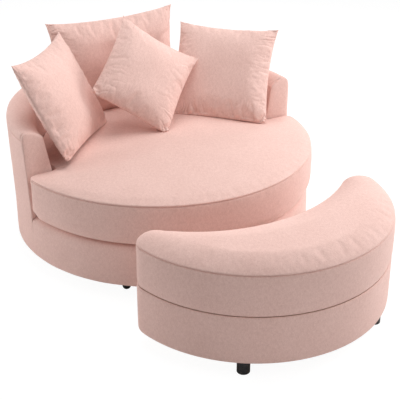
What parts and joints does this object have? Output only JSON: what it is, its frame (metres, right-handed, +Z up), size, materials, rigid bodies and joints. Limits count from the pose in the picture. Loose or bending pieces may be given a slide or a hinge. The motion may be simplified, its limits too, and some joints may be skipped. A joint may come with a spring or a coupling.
{
  "type": "swivel accent chair",
  "caption": "Round swivel lounge chair with a low curved back and arms, a thick round seat cushion, throw pillows and a crescent storage ottoman.",
  "frame": {"origin": "on the floor, at the bottom centre of the bounding box of chair and ottoman together; the chair's turning axis stands at y = +0.295 m", "axes": "+Z up; the chair looks along -Y, towards the ottoman; +X is on the right of someone who faces the chair's front"},
  "size_m": [1.3, 1.8903, 0.9103],
  "materials": {
    "blush_chenille": "woven chenille, matt",
    "blush_chenille_pillow": "woven chenille, matt",
    "birch_plywood": "raw plywood",
    "pine_frame": "planed timber",
    "zinc_plated_steel": "zinc plated, satin",
    "spring_steel": "oil-blackened wire",
    "black_plastic": "semi-gloss black",
    "grey_felt": "needled felt"
  },
  "bodies": {
    "base": {"base_beam_lower": "pine_frame", "base_beam_upper": "pine_frame", "base_foot_back_left": "black_plastic", "base_foot_back_right": "black_plastic", "base_foot_front_left": "black_plastic", "base_foot_front_right": "black_plastic", "ottoman_cover": "blush_chenille", "ottoman_floor_board": "birch_plywood", "ottoman_foot_back_left": "black_plastic", "ottoman_foot_back_right": "black_plastic", "ottoman_foot_front_left": "black_plastic", "ottoman_foot_front_right": "black_plastic", "ottoman_tub_board": "birch_plywood", "swivel_lower_plate": "zinc_plated_steel"},
    "bearing_cage": {"swivel_ball_cage": "zinc_plated_steel"},
    "seat": {"arm_front_panel_left": "blush_chenille", "arm_front_panel_right": "blush_chenille", "back_inner_pad": "blush_chenille", "back_outer_board": "birch_plywood", "back_outer_cover": "blush_chenille", "back_post_1": "pine_frame", "back_post_2": "pine_frame", "back_post_3": "pine_frame", "back_post_4": "pine_frame", "back_post_5": "pine_frame", "back_top_rail": "birch_plywood", "drum_floor_panel": "birch_plywood", "drum_front_cover": "blush_chenille", "drum_hoop": "birch_plywood", "front_post_1": "pine_frame", "front_post_2": "pine_frame", "front_post_3": "pine_frame", "pillow_back": "blush_chenille_pillow", "pillow_front": "blush_chenille_pillow", "pillow_left": "blush_chenille_pillow", "pillow_right": "blush_chenille_pillow", "seat_cushion": "blush_chenille", "seat_deck_ring": "birch_plywood", "seat_spring_1": "spring_steel", "seat_spring_2": "spring_steel", "seat_spring_3": "spring_steel", "seat_spring_4": "spring_steel", "seat_spring_5": "spring_steel", "spring_clip_back_1": "zinc_plated_steel", "spring_clip_back_2": "zinc_plated_steel", "spring_clip_back_3": "zinc_plated_steel", "spring_clip_back_4": "zinc_plated_steel", "spring_clip_back_5": "zinc_plated_steel", "spring_clip_front_1": "zinc_plated_steel", "spring_clip_front_2": "zinc_plated_steel", "spring_clip_front_3": "zinc_plated_steel", "spring_clip_front_4": "zinc_plated_steel", "spring_clip_front_5": "zinc_plated_steel", "spring_felt_pad": "grey_felt", "swivel_upper_plate": "zinc_plated_steel"},
    "ottoman_lid": {"ottoman_lid_board": "birch_plywood", "ottoman_lid_cleat": "birch_plywood", "ottoman_lid_cushion": "blush_chenille"}
  },
  "joints": [
    {"name": "swivel", "type": "hinge", "parent": "base", "child": "seat", "pos_m": [0, 0.29525, 0.106], "axis": [0, 0, 1], "continuous": true},
    {"name": "ball_cage_turn", "type": "hinge", "parent": "base", "child": "bearing_cage", "pos_m": [0, 0.29525, 0.106], "axis": [0, 0, 1], "continuous": true},
    {"name": "ottoman_lid_lift", "type": "slide", "parent": "base", "child": "ottoman_lid", "axis": [0, 0, 1], "range_m": [0, 0.25]}
  ],
  "couplings": [
    {"joint": "ball_cage_turn", "follows": "swivel", "ratio": 0.5}
  ]
}
